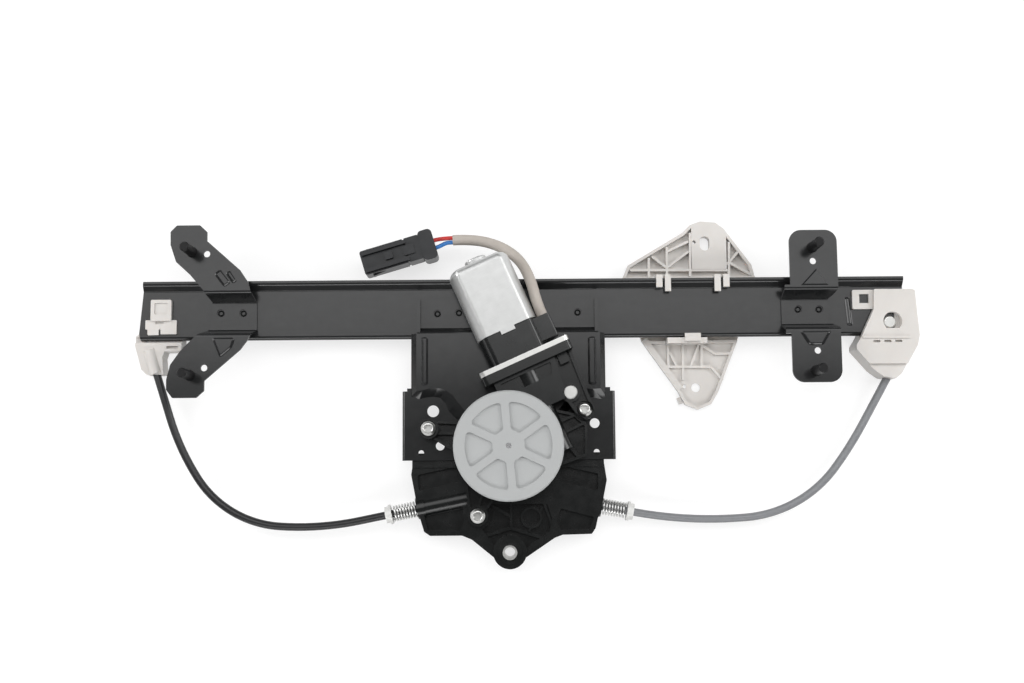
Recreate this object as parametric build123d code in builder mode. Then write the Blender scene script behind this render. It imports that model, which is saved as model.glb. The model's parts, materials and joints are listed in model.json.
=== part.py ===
"""Window regulator: single rail, cable drum drive, worm gear motor and sliding glass carrier.

Frame: +X along the rail, +Y across it, +Z out through the door studs.
Origin: centre of the four door studs, on the mounting faces of the brackets.
All sizes in millimetres.
"""

import os
from math import cos, pi, radians, sin, tan

from build123d import *

# ---- levels above and below the mounting plane -------------------------------------------
REST_Z = -27.5            # the plane that the regulator rests on when laid flat
SHEET = 1.5               # gauge of the pressed steel
WEB_Z = -13.5             # front face of the rail web
LIP_Z = -10.0             # front face of the rail's raised lip
PLATEAU_Z = -6.5          # top of the motor plate's raised bridge
WING_Z = -10.0            # top of the motor plate's wings
HOUSING_TOP = WING_Z - SHEET
LEFT_CABLE_Z = -17.6
RIGHT_CABLE_Z = -19.8
GAP = 0.3                 # running gap of the sliding carrier

# ---- door studs --------------------------------------------------------------------------
STUD_SPAN_X, STUD_SPAN_Y = 381.0, 76.0
STUD_R, STUD_LENGTH = 3.0, 20.0
SHOULDER_R = 3.4          # pressed into the bracket
LEFT_STUDS, RIGHT_STUDS = -STUD_SPAN_X / 2, STUD_SPAN_X / 2
STUD_Y = STUD_SPAN_Y / 2

# ---- rail --------------------------------------------------------------------------------
RAIL_LEFT, RAIL_RIGHT = LEFT_STUDS - 35.2, RIGHT_STUDS + 58.3
RAIL_TOP, RAIL_BOTTOM = 21.4, -15.1
LIP_WIDTH = 2.3
SLOPE_WIDTH = 3.6
TURNED_EDGE = 3.0

# ---- drive -------------------------------------------------------------------------------
DRUM_X, DRUM_Y = 3.2, -82.6
CABLE_R = 0.75
WRAP_R = 25.4             # radius of the cable's centre line on the drum
DRUM_FLANGE_R = 27.4
WHEEL_TEETH = 50
WORM_PITCH_R = 4.0
WHEEL_PITCH_R = 24.0
MESH = 111.87             # from the rear bearing boss to the foot of the drum's axis
MOTOR_Z = 7.5
MOTOR_LEAN = 24.0         # degrees between the motor axis and -Y
CAN_R, CAN_HALF = 19.3, 13.3
COVER_R = 32.9
SCREW_SEATS = (2.0, 4.0, 0.0)  # levels under the screw heads
DOWEL, DOWEL_R = (40.5, -50.6), 4.2
SCREWS = ((-45.1, -71.5), (49.1, -60.7), (-15.6, -124.0))
SCREW_R, SCREW_HEAD_R = 2.0, 4.4
BUSHING_R, BUSHING_BORE = 4.35, 3.2
MESH_ANGLE = MOTOR_LEAN + 2.1  # the worm sits on this side of the wheel

# ---- conduits ----------------------------------------------------------------------------
CONDUIT_R, CONDUIT_BORE = 2.4, 1.0
SPRING_R, SPRING_WIRE, SPRING_PITCH, SPRING_LENGTH = 4.5, 0.6, 1.75, 15.6
LEFT_HEADING, RIGHT_HEADING = 191.23, 349.46
EXIT_RUN = 79.3           # from the drum to the outer end of each tension spring
TAIL = 19.0               # conduit end that reaches back through the spring
FIRST_BEND = (123.0, 117.7)  # from the drum to the first corner of each conduit's route
GUIDE_BEND = 16.0         # bend radius of the cable inside its guide
LEFT_BENDS, RIGHT_BENDS = [184.0, 66.5, 154.0], [262.0, 78.0, 255.0]

os.makedirs("parts", exist_ok=True)


# ---- shared helpers ----------------------------------------------------------------------
def heading(angle):
    """Unit vector in the XY plane at an angle in degrees."""
    return Vector(cos(radians(angle)), sin(radians(angle)), 0)


def ahead(point, angle, distance):
    """Point reached by going a distance along a heading."""
    spot = Vector(point[0], point[1], 0) + heading(angle) * distance
    return (spot.X, spot.Y)


def round_rod(path, radius, bore=0.0):
    """Rod or tube of round section along a path."""
    with BuildPart() as rod:
        with BuildSketch(Plane(origin=path @ 0, z_dir=path % 0)):
            Circle(radius)
            if bore:
                Circle(bore, mode=Mode.SUBTRACT)
        sweep(path=path)
    return rod.part


def seated(route, radii):
    """Radii at the corners of a route, all made smaller alike where a run is too short."""
    runs = [Vector(*end) - Vector(*start) for start, end in zip(route, route[1:])]
    used = [radius * tan(radians(one.get_angle(other)) / 2)
            for radius, one, other in zip(radii, runs, runs[1:])]
    room = min(run.length / (before + after)
               for run, before, after in zip(runs, [0.0, *used], [*used, 0.0]))
    return [radius * min(1.0, 0.999 * room) for radius in radii]


def round_corners(outline, points, corner):
    """Rounds every corner of a closed outline."""
    fillet(outline.vertices(), seated([*points, *points[:3]], [corner] * (len(points) + 1))[0])


def prism(points, low, high, corner=0.0):
    """Upright block on a plan outline, with its upright corners rounded."""
    with BuildPart() as block:
        with BuildSketch(Plane.XY.offset(low)) as outline:
            with BuildLine():
                Polyline(*points, close=True)
            make_face()
            if corner:
                round_corners(outline, points, corner)
        extrude(amount=high - low)
    return block.part


def rim(points, low, high, width, corner=0.0):
    """Upright wall along the inside of a plan outline."""
    with BuildPart() as wall:
        with BuildSketch(Plane.XY.offset(low)) as outline:
            with BuildLine():
                Polyline(*points, close=True)
            make_face()
            if corner:
                round_corners(outline, points, corner)
            offset(amount=-width, kind=Kind.INTERSECTION, mode=Mode.SUBTRACT)
        extrude(amount=high - low)
    return wall.part


def ribs(lines, low, high, width=1.5):
    """Straight upright ribs, each between two plan points."""
    with BuildPart() as walls:
        with BuildSketch(Plane.XY.offset(low)):
            for start, end in lines:
                with BuildLine():
                    Line(start, end)
                trace(line_width=width)
        extrude(amount=high - low)
    return walls.part


def relief(points, level, rise=0.8):
    """Low block on a plan outline, its sides at 45 degrees."""
    with BuildPart() as block:
        with BuildSketch(Plane.XY.offset(level)):
            with BuildLine():
                Polyline(*points, close=True)
            make_face()
        extrude(amount=rise, taper=45)
    return block.part


def disc(x, y, radius, low, high):
    """Upright cylinder from one level to another."""
    with BuildPart() as round_block:
        with BuildSketch(Plane.XY.offset(low)):
            with Locations((x, y)):
                Circle(radius)
        extrude(amount=high - low)
    return round_block.part


def under_side(side_view):
    """Back face of a bent sheet whose front face is given as (y, z) points, read towards -Y."""
    points = [Vector(y, z) for y, z in side_view]
    runs = [(b - a).normalized() for a, b in zip(points, points[1:])]
    across = [Vector(-run.Y, run.X) for run in runs]
    back = [points[0] + across[0] * SHEET]
    for point, one, two in zip(points[1:], across, across[1:]):
        mitre = (one + two).normalized()
        back.append(point + mitre * (SHEET / mitre.dot(one)))
    back.append(points[-1] + across[-1] * SHEET)
    return [(spot.X, spot.Y) for spot in back]


def folded_strip(side_view, x_low, x_high, bend=0.8):
    """Strip of sheet, bent through (y, z) points of its front face, running along X."""
    front, back = [Vector(y, z) for y, z in side_view], under_side(side_view)
    outer, inner = [], []
    for before, corner, after, behind in zip(front, front[1:], front[2:], back[1:]):
        turns_back = (corner - before).cross(after - corner).Z > 0
        (outer if turns_back else inner).append(corner)
        (inner if turns_back else outer).append(Vector(*behind))
    with BuildPart() as strip:
        with BuildSketch(Plane.YZ.offset(x_low)) as section:
            with BuildLine():
                Polyline(*side_view, *reversed(back), close=True)
            make_face()
            for corners, radius in ((outer, bend + SHEET), (inner, bend)):
                fillet([v for v in section.vertices()
                        if any((Vector(v.X, v.Y) - spot).length < 0.01 for spot in corners)],
                       radius)
        extrude(amount=x_high - x_low)
    return strip.part


# the motor's own frames: sections across its axis, and plan views with -Y along the axis
MOTOR_AXIS = heading(MOTOR_LEAN - 90)
MOTOR_SIDE = heading(MOTOR_LEAN)
MOTOR_END = (Vector(DRUM_X, DRUM_Y, MOTOR_Z) + MOTOR_SIDE * (WORM_PITCH_R + WHEEL_PITCH_R)
             - MOTOR_AXIS * MESH)


def motor_section(distance):
    """Plane across the motor axis, its X along the motor's width and its Y along +Z."""
    return Plane(origin=MOTOR_END + MOTOR_AXIS * distance, x_dir=MOTOR_SIDE, z_dir=MOTOR_AXIS)


def on_motor(side, distance):
    """Plan point by its offset to the motor's side and its distance along the motor's axis."""
    spot = MOTOR_END + MOTOR_AXIS * distance + MOTOR_SIDE * side
    return (spot.X, spot.Y)


def can_section(distance, radius, half):
    """Section across the motor: a circle with two flats, facing up and down."""
    with BuildSketch(motor_section(distance)) as section:
        Circle(radius)
        Rectangle(2 * radius, 2 * half, mode=Mode.INTERSECT)
        fillet(section.vertices(), 3.0)
    return section.sketch


# ---- rail: joggled lip along one edge, turned flange along the other -----------------------
SLOPE_FOOT = RAIL_TOP - LIP_WIDTH - SLOPE_WIDTH
with BuildPart() as rail:
    add(folded_strip(
        [(RAIL_TOP, LIP_Z), (RAIL_TOP - LIP_WIDTH, LIP_Z), (SLOPE_FOOT, WEB_Z),
         (RAIL_BOTTOM, WEB_Z), (RAIL_BOTTOM, WEB_Z - TURNED_EDGE)], RAIL_LEFT, RAIL_RIGHT))
    # the left end is cut on the slant
    with Locations((RAIL_LEFT, 0, 0)):
        add(prism([(-1, 22), (-1, -16), (1.2, -16), (0, -11), (2.8, 22)], -20, -5),
            mode=Mode.SUBTRACT)
    # the right end keeps only its lip
    with Locations((RAIL_RIGHT, 0, 0)):
        add(prism([(-5.8, -16), (2, -16), (2, 14), (-5.8, 14)], -20, -5, 0.5),
            mode=Mode.SUBTRACT)
    # window for the left cable guide's clip, and the right guide's rivet hole
    with BuildSketch(Plane.XY.offset(WEB_Z - 2)):
        with Locations((LEFT_STUDS - 21.0, -1.0)):
            RectangleRounded(9.0, 15.0, 0.5)
        with Locations((RIGHT_STUDS + 49.5, -7.0)):
            Circle(1.75)
    extrude(amount=4, mode=Mode.SUBTRACT)
rail.part.label = "rail"
export_step(rail.part, "parts/rail.step")


# ---- brackets: each is drawn with X measured from its own studs ------------------------------
SEAT_Z = WEB_Z + SHEET    # front face of a sheet that lies on the rail's web


def bracket_strip(x_low, x_high, top, upper_bend, lower_bend, bottom):
    """Bracket sheet seen from the side: pad, joggle down to the rail web, joggle up, pad."""
    return folded_strip(
        [(top, 0), (upper_bend + 4.4, 0), (upper_bend, SEAT_Z), (lower_bend, SEAT_Z),
         (lower_bend - 3.4, 0), (bottom, 0)], x_low, x_high)


def press_bead(bead, level):
    """Bead pressed up out of a sheet, hollow behind; its outline runs anticlockwise."""
    add(relief(bead, level - SHEET), mode=Mode.SUBTRACT)
    add(relief(bead, level))


def clinch(*spots):
    """Round dimples where a sheet is clinched to the rail behind it."""
    with Locations(*[(x, y, SEAT_Z) for x, y in spots]):
        Cylinder(2.6, 0.6, align=(Align.CENTER, Align.CENTER, Align.MAX), mode=Mode.SUBTRACT)


def punch(radius, *spots):
    """Round holes through the pads."""
    with Locations(*[(x, y, 0) for x, y in spots]):
        Cylinder(radius, 8, mode=Mode.SUBTRACT)


with BuildPart() as left_bracket:
    with Locations((LEFT_STUDS, 0, 0)):
        add(bracket_strip(-16, 41, STUD_Y + 16.8, 8.1, -9.2, -STUD_Y - 13.7))
        add(prism(
            [(-9.6, STUD_Y + 16.8), (4.6, STUD_Y + 16.8), (9.1, STUD_Y + 12.6),
             (9.1, STUD_Y + 7.0), (29.7, 26.7), (34.7, 19.2), (37.9, 8.1), (38.2, -9.2),
             (34.6, -17.1), (30.5, -22.6), (8.9, -STUD_Y - 3.4), (8.9, -STUD_Y - 9.5),
             (4.2, -STUD_Y - 13.7), (-10.3, -STUD_Y - 13.7), (-14.1, -STUD_Y - 8.7),
             (-14.2, -STUD_Y - 2.6), (-12.0, -STUD_Y + 6.5), (-6.1, -23.0), (-0.1, -16.9),
             (9.3, -8.0), (10.5, 8.4), (7.2, 14.5), (-0.9, 23.9), (-9.7, STUD_Y - 6.0),
             (-13.3, STUD_Y + 4.6), (-13.5, STUD_Y + 12.8)],
            -30, 10, 1.0), mode=Mode.INTERSECT)
        clinch((15.8, 1.5), (29.7, 1.4))
        punch(SHOULDER_R, (0, STUD_Y), (0, -STUD_Y))
        punch(2.0, (9.2, STUD_Y - 1.2), (8.7, -STUD_Y + 4.5))
left_bracket.part.label = "left_bracket"
export_step(left_bracket.part, "parts/left_bracket.step")

with BuildPart() as right_bracket:
    with Locations((RIGHT_STUDS, 0, 0)):
        add(bracket_strip(-18.5, 16.5, STUD_Y + 11.0, 7.6, -8.1, -STUD_Y - 7.0))
    with BuildSketch(Plane.XY.offset(-30)):
        with Locations((RIGHT_STUDS + 0.6, 7.0)):
            RectangleRounded(29.4, STUD_Y + 4.0, 7.4, align=(Align.CENTER, Align.MIN))
        with Locations((RIGHT_STUDS + 0.9, -5.0)):
            RectangleRounded(30.2, STUD_Y + 2.0, 7.4, align=(Align.CENTER, Align.MAX))
        with Locations((RIGHT_STUDS - 3.0, 0)):
            Rectangle(29.0, 30.0)
    extrude(amount=40, mode=Mode.INTERSECT)
    with Locations((RIGHT_STUDS, 0, 0)):
        press_bead([(-7.5, 14.6), (9.5, 14.6), (2.2, 25.0)], 0)
        clinch((-7.2, 1.3), (5.8, 1.2))
        punch(SHOULDER_R, (0, STUD_Y), (0, -STUD_Y))
        punch(2.0, (0.3, STUD_Y - 8.4), (1.5, -STUD_Y + 12.4))
right_bracket.part.label = "right_bracket"
export_step(right_bracket.part, "parts/right_bracket.step")

# ---- door studs: flat heads behind the pads, pressed shoulders, chamfered ends ---------------
with BuildPart() as door_studs:
    with GridLocations(STUD_SPAN_X, STUD_SPAN_Y, 2, 2):
        with Locations((0, 0, -SHEET)):
            Cylinder(5.5, 1.4, align=(Align.CENTER, Align.CENTER, Align.MAX))
            Cylinder(SHOULDER_R, SHEET, align=(Align.CENTER, Align.CENTER, Align.MIN))
        Cylinder(STUD_R, STUD_LENGTH, align=(Align.CENTER, Align.CENTER, Align.MIN))
    chamfer(door_studs.faces().filter_by(GeomType.PLANE).group_by(Axis.Z)[-1].edges(), 0.7)
door_studs.part.label = "door_studs"
export_step(door_studs.part, "parts/door_studs.step")

# ---- motor plate: tab on the rail, raised bridge, wings under the gear housing --------------
BRIDGE_TOP = [(-53.1, -48.2), (-49.0, -47.6), (-43.9, -46.3), (-39.7, -46.3), (-35.0, -47.7),
              (-30.9, -50.8), (-28.1, -54.8), (-23.2, -60.6), (34.0, -60.0), (43.0, -49.0),
              (50.9, -47.2), (55.0, -47.6), (59.8, -47.2)]
BRIDGE_FOOT = [(-56.5, -51.3), (-51.5, -52.8), (-46.9, -51.8), (-42.8, -51.3), (-38.7, -52.1),
               (-35.2, -55.7), (-33.4, -60.3), (-28.2, -65.7), (36.4, -64.4), (46.0, -53.6),
               (52.8, -52.3), (60.5, -53.5), (63.0, -51.8)]


def bridge_frustum(drop):
    """Tapered block under the bridge outline, lowered by a drop."""
    high, low = PLATEAU_Z - drop, WING_Z - drop
    with BuildPart() as block:
        with BuildSketch(Plane.XY.offset(low)):
            with BuildLine():
                Polyline((-56.5, -12.6), *BRIDGE_FOOT, (63.0, -12.6), close=True)
            make_face()
        with BuildSketch(Plane.XY.offset(high)):
            with BuildLine():
                Polyline((-53.1, -12.6), *BRIDGE_TOP, (59.8, -12.6), close=True)
            make_face()
        loft(ruled=True)
    return block.part


def turned_edge(x, inward, y_low, y_high, top, depth):
    """Edge of a sheet folded down along Y; inward is +1 or -1, towards the sheet."""
    with BuildPart() as edge:
        with BuildSketch(Plane.XZ.offset(-y_high)) as section:
            with BuildLine():
                Polyline((x + 4 * inward, top), (x, top), (x, top - depth),
                         (x + SHEET * inward, top - depth), (x + SHEET * inward, top - SHEET),
                         (x + 4 * inward, top - SHEET), close=True)
            make_face()
            corner = section.vertices().sort_by_distance((x, top, 0))[0]
            fillet(corner, SHEET + 0.7)
        extrude(amount=y_high - y_low)
    return edge.part


with BuildPart() as motor_plate:
    # wings, their outer edges turned down
    with BuildSketch(Plane.XY.offset(WING_Z - SHEET)) as wings:
        with BuildLine():
            Polyline((-59.0, -46.2), (-59.0, -90.4), (65.8, -90.4), (65.8, -46.2), close=True)
        make_face()
    extrude(amount=SHEET)
    add(turned_edge(-62.0, 1, -90.4, -48.0, WING_Z, 7.0))
    add(turned_edge(68.8, -1, -90.4, -48.4, WING_Z, 7.0))
    # bridge, hollow beneath
    add(bridge_frustum(0))
    add(bridge_frustum(SHEET), mode=Mode.SUBTRACT)
    with Locations((3.3, -28.5, WING_Z - SHEET / 2)):
        Box(112.0, 31.0, SHEET + 0.2, mode=Mode.SUBTRACT)
    # joggle down to the tab on the rail
    add(folded_strip([(9.0, SEAT_Z), (-8.9, SEAT_Z), (-11.8, PLATEAU_Z), (-14.2, PLATEAU_Z)],
                     -50.8, 56.8))
    # upturned edges of the tab
    for x, inward in ((-53.1, 1), (59.1, -1)):
        with Locations((x + inward * 1.15, -1.4, WEB_Z)):
            Box(2.3, 20.6, 5.0, align=(Align.CENTER, Align.CENTER, Align.MIN))
    clinch((-40.4, 0.2), (-27.1, 0.7), (46.5, 0.5))
    # shaft opening, screw holes and drain holes
    for x, y, radius in ((DRUM_X, DRUM_Y, 16.5), (-43.0, -60.3, 3.6), (-38.7, -81.6, 2.7),
                         (-50.3, -85.8, 1.7), (56.0, -68.3, 3.0), (57.0, -86.0, 1.85),
                         (*SCREWS[0], 2.6), (*SCREWS[1], 2.6)):
        with Locations((x, y, WING_Z)):
            Cylinder(radius, 8, mode=Mode.SUBTRACT)
motor_plate.part.label = "motor_plate"
export_step(motor_plate.part, "parts/motor_plate.step")


# ---- cable paths ---------------------------------------------------------------------------
def drum_exit(angle, sense):
    """Point where a cable that leaves along a heading lets go of the drum."""
    return ahead((DRUM_X, DRUM_Y), angle - 90 * sense, WRAP_R)


LEFT_EXIT = drum_exit(LEFT_HEADING, -1)
RIGHT_EXIT = drum_exit(RIGHT_HEADING, 1)
# corners of each route, up to the corner inside the cable guide, and the cable's end
LEFT_CORNERS = [ahead(LEFT_EXIT, LEFT_HEADING, FIRST_BEND[0]), (LEFT_STUDS + 19.9, -127.5),
                (LEFT_STUDS - 9.6, -82.1), (LEFT_STUDS - 36.9, 2.3)]
RIGHT_CORNERS = [ahead(RIGHT_EXIT, RIGHT_HEADING, FIRST_BEND[1]), (RIGHT_STUDS - 6.5, -123.8),
                 (RIGHT_STUDS + 24.9, -82.3), (RIGHT_STUDS + 70.8, -2.3)]
LEFT_CABLE_END, RIGHT_CABLE_END = (155.6, 2.3), (-122.3, -2.3)


def conduit_path(leave, angle, corners, bends, socket, level):
    """Route of a conduit, from inside the drum housing to short of the guide's corner."""
    turn, last = Vector(*corners[-1]), Vector(*corners[-2])
    end = turn + (last - turn).normalized() * socket
    points = [ahead(leave, angle, EXIT_RUN - TAIL), *corners[:-1], (end.X, end.Y)]
    with BuildLine() as line:
        FilletPolyline(*[(x, y, level) for x, y in points], radius=seated(points, bends))
    return line.wire()


def cable_path(leave, angle, corners, bends, end, level, sense):
    """Route of a cable: round the drum, through its conduit and guide, along the rail."""
    wrap = 200.0 * sense
    start = ahead((DRUM_X, DRUM_Y), angle - 90 * sense - wrap, WRAP_R)
    points = [leave, *corners, end]
    with BuildLine() as line:
        JernArc(start=(*start, level), tangent=heading(angle - wrap), radius=WRAP_R,
                arc_size=wrap)
        FilletPolyline(*[(x, y, level) for x, y in points],
                       radius=seated(points, [*bends, GUIDE_BEND]))
    return line.wire()


LEFT_CONDUIT = conduit_path(LEFT_EXIT, LEFT_HEADING, LEFT_CORNERS, LEFT_BENDS, 33.5, LEFT_CABLE_Z)
RIGHT_CONDUIT = conduit_path(RIGHT_EXIT, RIGHT_HEADING, RIGHT_CORNERS, RIGHT_BENDS, 36.5,
                             RIGHT_CABLE_Z)
LEFT_CABLE = cable_path(LEFT_EXIT, LEFT_HEADING, LEFT_CORNERS, LEFT_BENDS, LEFT_CABLE_END,
                        LEFT_CABLE_Z, -1)
RIGHT_CABLE = cable_path(RIGHT_EXIT, RIGHT_HEADING, RIGHT_CORNERS, RIGHT_BENDS, RIGHT_CABLE_END,
                         RIGHT_CABLE_Z, 1)

# ---- conduits, and the cables through them --------------------------------------------------
with BuildPart() as left_conduit:
    add(round_rod(LEFT_CONDUIT, CONDUIT_R, CONDUIT_BORE))
left_conduit.part.label = "left_conduit"
export_step(left_conduit.part, "parts/left_conduit.step")

with BuildPart() as right_conduit:
    add(round_rod(RIGHT_CONDUIT, CONDUIT_R, CONDUIT_BORE))
right_conduit.part.label = "right_conduit"
export_step(right_conduit.part, "parts/right_conduit.step")

with BuildPart() as left_cable:
    add(round_rod(LEFT_CABLE, CABLE_R))
left_cable.part.label = "left_cable"
export_step(left_cable.part, "parts/left_cable.step")

with BuildPart() as right_cable:
    add(round_rod(RIGHT_CABLE, CABLE_R))
right_cable.part.label = "right_cable"
export_step(right_cable.part, "parts/right_cable.step")


def along_exit(leave, angle, distance, level):
    """Plane across a cable's exit line, at a distance from the drum."""
    spot = ahead(leave, angle, distance)
    return Plane(origin=(spot[0], spot[1], level), x_dir=(0, 0, 1), z_dir=heading(angle))


EXIT_LINES = ((LEFT_EXIT, LEFT_HEADING, LEFT_CABLE_Z), (RIGHT_EXIT, RIGHT_HEADING, RIGHT_CABLE_Z))

# ---- tension springs: closed-ground coils that keep both cables taut ------------------------
with BuildPart() as tension_springs:
    for leave, angle, level in EXIT_LINES:
        end = along_exit(leave, angle, EXIT_RUN - 1.0 - SPRING_LENGTH, level)
        coil = Helix(pitch=SPRING_PITCH, height=SPRING_LENGTH - 2 * SPRING_WIRE - 0.2,
                     radius=SPRING_R, center=end.origin + end.z_dir * (SPRING_WIRE + 0.1),
                     direction=end.z_dir)
        with BuildSketch(Plane(origin=coil @ 0, z_dir=coil % 0)):
            RegularPolygon(SPRING_WIRE, 6)
        sweep(path=coil, is_frenet=True)
tension_springs.part.label = "tension_springs"
export_step(tension_springs.part, "parts/tension_springs.step")

# ---- conduit ferrules: cupped ends that the springs push against ----------------------------
with BuildPart() as conduit_ferrules:
    for leave, angle, level in EXIT_LINES:
        with BuildSketch(along_exit(leave, angle, EXIT_RUN - 1.0, level)):
            Circle(6.0)
            Circle(CONDUIT_R, mode=Mode.SUBTRACT)
        extrude(amount=1.6)
        with BuildSketch(along_exit(leave, angle, EXIT_RUN + 0.6, level)):
            Circle(5.0)
            Circle(CONDUIT_R, mode=Mode.SUBTRACT)
        extrude(amount=2.4)
conduit_ferrules.part.label = "conduit_ferrules"
export_step(conduit_ferrules.part, "parts/conduit_ferrules.step")

# ---- drum housing ---------------------------------------------------------------------------
NOSE = (3.5, -146.0)
POCKET_R = DRUM_FLANGE_R + 0.9
POCKET_FLOOR = -21.8
UNDERSIDE = -23.0
FACE_Z = -13.0            # top of the body below the gearbox
BODY_PLAN = [(-55.5, -91.1), (-56.7, -99.0), (-52.4, -121.5), (-48.8, -133.6), (-45.1, -136.1),
             (-25.6, -136.1), (-19.6, -138.6), (-6.2, -149.5), (13.4, -149.5), (30.9, -137.8),
             (35.8, -136.0), (53.5, -135.6), (55.9, -132.0), (57.3, -126.0), (59.1, -122.4),
             (63.1, -103.0), (61.4, -91.5)]
BODY_POCKETS = [           # lightening pockets between the body's ribs
    [(-49.0, -123.0), (-46.4, -133.0), (-27.0, -133.4), (-24.5, -127.5), (-25.2, -118.5)],
    [(-52.4, -99.0), (-28.0, -94.0), (-27.2, -103.5), (-52.0, -109.0)],
    [(34.6, -120.0), (55.2, -125.5), (52.0, -133.0), (35.0, -133.4), (32.2, -127.5)],
    [(35.0, -94.0), (57.8, -99.0), (57.6, -109.5), (34.2, -103.5)],
    [(-13.5, -132.6), (-8.6, -128.8), (-8.6, -117.2), (26.4, -117.2), (29.2, -126.0),
     (27.4, -134.6), (12.0, -144.6), (-4.2, -144.6)]]
BODY_RIBS = [((-17.1, -138.1), (4.2, -131.9)), ((4.2, -131.9), (24.8, -138.4)),
             ((4.3, -116.0), (4.3, -132.0)), ((24.7, -117.0), (30.6, -133.9)),
             ((23.6, -119.0), (15.0, -134.0)), ((-9.0, -117.0), (4.3, -125.0))]

with BuildPart() as drum_housing:
    add(disc(DRUM_X, DRUM_Y, POCKET_R + 2.7, UNDERSIDE, HOUSING_TOP))
    add(prism(BODY_PLAN, UNDERSIDE, FACE_Z, 1.2))
    for pocket in BODY_POCKETS:
        add(prism(pocket, FACE_Z - 4.0, FACE_Z + 1, 1.0), mode=Mode.SUBTRACT)
    add(ribs(BODY_RIBS, FACE_Z - 4.5, FACE_Z))
    add(disc(16.8, -125.5, 6.6, FACE_Z - 4.5, FACE_Z))
    add(disc(16.8, -125.5, 5.2, FACE_Z - 3.0, FACE_Z + 1), mode=Mode.SUBTRACT)
    # nose, feet and screw bosses
    add(disc(*NOSE, 10.2, REST_Z, -7.2))
    add(disc(*NOSE, 7.4, -7.2, -6.0))
    add(disc(DRUM_X, -90.0, 21.0, REST_Z, UNDERSIDE))
    for x, y in SCREWS:
        add(disc(x, y, 5.6, -20.0, HOUSING_TOP))
    add(prism([(-45.1, -67.0), (-20.0, -66.0), (-20.0, -80.0), (-45.1, -76.0)],
              -20.0, HOUSING_TOP))
    add(prism([(46.0, -56.0), (20.0, -60.0), (20.0, -78.0), (52.0, -65.0)], -20.0, HOUSING_TOP))
    # barrels that hold the springs, each with a collar at its mouth
    for leave, angle, level in EXIT_LINES:
        mouth = EXIT_RUN - 1.0 - SPRING_LENGTH
        for start, length, radius in ((30.0, mouth - 30.0, 6.0), (mouth - 5.0, 5.0, 6.6)):
            with BuildSketch(along_exit(leave, angle, start, level)):
                Circle(radius)
            extrude(amount=length)
    # drum pocket, cable bores, conduit sockets, nose bore
    add(disc(DRUM_X, DRUM_Y, POCKET_R, POCKET_FLOOR, HOUSING_TOP + 1), mode=Mode.SUBTRACT)
    for leave, angle, level in EXIT_LINES:
        for start, length, radius in ((0.0, EXIT_RUN - TAIL, 1.3), (EXIT_RUN - TAIL, TAIL, CONDUIT_R)):
            with BuildSketch(along_exit(leave, angle, start, level)):
                Circle(radius)
            extrude(amount=length, mode=Mode.SUBTRACT)
    add(disc(*NOSE, BUSHING_R, REST_Z - 1, 0), mode=Mode.SUBTRACT)
    for x, y in SCREWS:
        add(disc(x, y, SCREW_R, -20.0 - 1, 0), mode=Mode.SUBTRACT)
drum_housing.part.label = "drum_housing"
export_step(drum_housing.part, "parts/drum_housing.step")

with BuildPart() as nose_bushing:
    with BuildSketch(Plane.XY.offset(REST_Z)):
        with Locations(NOSE):
            Circle(BUSHING_R)
            Circle(BUSHING_BORE, mode=Mode.SUBTRACT)
    extrude(amount=-REST_Z)
nose_bushing.part.label = "nose_bushing"
export_step(nose_bushing.part, "parts/nose_bushing.step")

# ---- cable drum: ring grooves between two flanges --------------------------------------------
DRUM_LOW, DRUM_HIGH = -21.5, -12.6
SHAFT_HUB_R = 5.0
with BuildPart() as cable_drum:
    with BuildSketch(Plane.XZ.offset(-DRUM_Y)):
        with BuildLine():
            Polyline((DRUM_X + SHAFT_HUB_R, DRUM_LOW), (DRUM_X + DRUM_FLANGE_R, DRUM_LOW),
                     (DRUM_X + DRUM_FLANGE_R, DRUM_LOW + 0.5), (DRUM_X + WRAP_R, DRUM_LOW + 0.5),
                     (DRUM_X + WRAP_R, DRUM_HIGH - 1.0), (DRUM_X + DRUM_FLANGE_R, DRUM_HIGH - 1.0),
                     (DRUM_X + DRUM_FLANGE_R, DRUM_HIGH), (DRUM_X + SHAFT_HUB_R, DRUM_HIGH),
                     close=True)
        make_face()
        with Locations((DRUM_X + WRAP_R, RIGHT_CABLE_Z), (DRUM_X + WRAP_R, LEFT_CABLE_Z),
                       (DRUM_X + WRAP_R, 2 * LEFT_CABLE_Z - RIGHT_CABLE_Z)):
            Circle(CABLE_R + 0.25, mode=Mode.SUBTRACT)
    revolve(axis=Axis((DRUM_X, DRUM_Y, 0), (0, 0, 1)))
cable_drum.part.label = "cable_drum"
export_step(cable_drum.part, "parts/cable_drum.step")

# ---- worm wheel ------------------------------------------------------------------------------
MODULE = 2 * WHEEL_PITCH_R / WHEEL_TEETH
WHEEL_TIP, WHEEL_ROOT = WHEEL_PITCH_R + 0.7, WHEEL_PITCH_R - 1.15
with BuildPart() as worm_wheel:
    with BuildSketch(Plane.XY.offset(MOTOR_Z - 3.0)):
        with Locations((DRUM_X, DRUM_Y)):
            Circle(WHEEL_TIP)
            Circle(SHAFT_HUB_R, mode=Mode.SUBTRACT)
            with PolarLocations(WHEEL_TIP, WHEEL_TEETH, start_angle=MESH_ANGLE):
                Polygon((0.5, 1.25), (0.5, -1.25), (WHEEL_ROOT - WHEEL_TIP, -0.62),
                        (WHEEL_ROOT - WHEEL_TIP, 0.62), align=None, mode=Mode.SUBTRACT)
    extrude(amount=6.0)
worm_wheel.part.label = "worm_wheel"
export_step(worm_wheel.part, "parts/worm_wheel.step")

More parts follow.
